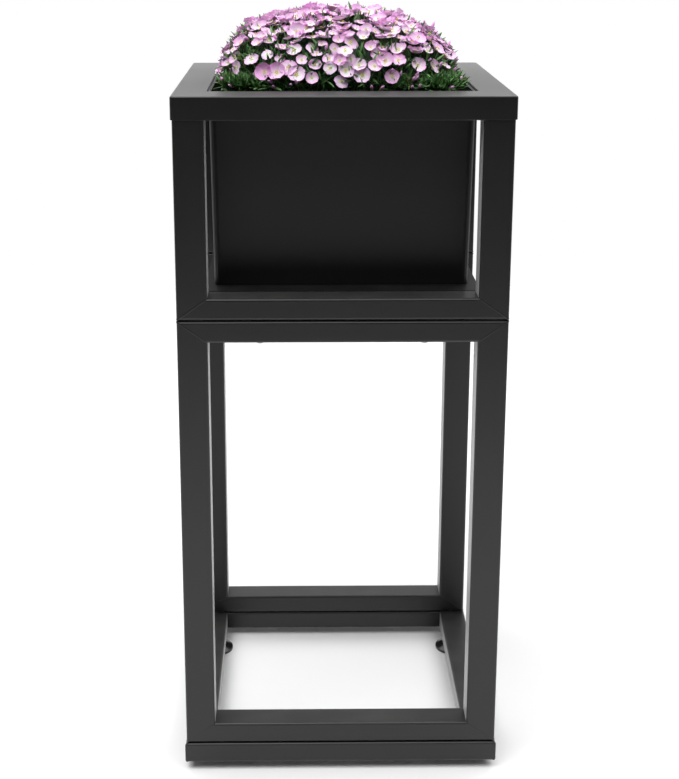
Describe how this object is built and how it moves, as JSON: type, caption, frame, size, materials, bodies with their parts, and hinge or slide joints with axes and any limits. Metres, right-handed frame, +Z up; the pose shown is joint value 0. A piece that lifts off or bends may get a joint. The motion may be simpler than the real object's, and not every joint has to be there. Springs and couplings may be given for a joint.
{
  "type": "raised planter on legs",
  "caption": "Open steel cage on a tall tube stand with a base ring and levelling feet, holding a flanged cap and a lift-out planted liner.",
  "frame": {"origin": "centre of the footprint, on the floor under the levelling feet", "axes": "+X to the right, -Y to the front, +Z up"},
  "size_m": [0.305, 0.3026, 0.7249],
  "materials": {
    "frame_coat": "satin charcoal powder coat",
    "liner_coat": "matt black powder coat",
    "zinc_steel": "zinc plated",
    "foot_plastic": "glossy black moulded plastic",
    "soil": "moist potting soil",
    "plants": "leaves and pink flowers"
  },
  "bodies": {
    "frame": {"base_ring_front": "frame_coat", "base_ring_right": "frame_coat", "base_ring_back": "frame_coat", "base_ring_left": "frame_coat", "stand_front_post_left": "frame_coat", "stand_front_post_right": "frame_coat", "stand_front_top_rail": "frame_coat", "stand_front_bottom_rail": "frame_coat", "stand_back_post_left": "frame_coat", "stand_back_post_right": "frame_coat", "stand_back_top_rail": "frame_coat", "stand_back_bottom_rail": "frame_coat", "cage_front_post_left": "frame_coat", "cage_front_post_right": "frame_coat", "cage_front_top_rail": "frame_coat", "cage_front_bottom_rail": "frame_coat", "cage_back_post_left": "frame_coat", "cage_back_post_right": "frame_coat", "cage_back_top_rail": "frame_coat", "cage_back_bottom_rail": "frame_coat", "cage_side_rail_left": "frame_coat", "cage_side_rail_right": "frame_coat", "cap": "frame_coat", "bottom_plate": "frame_coat", "ring_insert_front_left": "zinc_steel", "ring_insert_front_right": "zinc_steel", "ring_insert_back_left": "zinc_steel", "ring_insert_back_right": "zinc_steel", "ring_screw_front_left": "zinc_steel", "ring_screw_front_right": "zinc_steel", "ring_screw_back_left": "zinc_steel", "ring_screw_back_right": "zinc_steel", "cage_insert_front_left": "zinc_steel", "cage_insert_front_right": "zinc_steel", "cage_insert_back_left": "zinc_steel", "cage_insert_back_right": "zinc_steel", "cage_screw_front_left": "zinc_steel", "cage_screw_front_right": "zinc_steel", "cage_screw_back_left": "zinc_steel", "cage_screw_back_right": "zinc_steel", "foot_insert_front_left": "zinc_steel", "foot_insert_front_right": "zinc_steel", "foot_insert_back_left": "zinc_steel", "foot_insert_back_right": "zinc_steel"},
    "liner": {"liner": "liner_coat"},
    "planting": {"root_ball": "soil", "planting": "plants"},
    "foot_front_left": {"foot_pad_front_left": "foot_plastic", "foot_stud_front_left": "zinc_steel"},
    "foot_front_right": {"foot_pad_front_right": "foot_plastic", "foot_stud_front_right": "zinc_steel"},
    "foot_back_left": {"foot_pad_back_left": "foot_plastic", "foot_stud_back_left": "zinc_steel"},
    "foot_back_right": {"foot_pad_back_right": "foot_plastic", "foot_stud_back_right": "zinc_steel"}
  },
  "joints": [
    {"name": "liner_lift", "type": "slide", "parent": "frame", "child": "liner", "axis": [0, 0, 1], "range_m": [0, 0.2]},
    {"name": "planting_lift", "type": "slide", "parent": "liner", "child": "planting", "axis": [0, 0, 1], "range_m": [0, 0.17]},
    {"name": "foot_front_left_screw_out", "type": "slide", "parent": "frame", "child": "foot_front_left", "axis": [0, 0, -1], "range_m": [0, 0.008]},
    {"name": "foot_front_right_screw_out", "type": "slide", "parent": "frame", "child": "foot_front_right", "axis": [0, 0, -1], "range_m": [0, 0.008]},
    {"name": "foot_back_left_screw_out", "type": "slide", "parent": "frame", "child": "foot_back_left", "axis": [0, 0, -1], "range_m": [0, 0.008]},
    {"name": "foot_back_right_screw_out", "type": "slide", "parent": "frame", "child": "foot_back_right", "axis": [0, 0, -1], "range_m": [0, 0.008]}
  ]
}
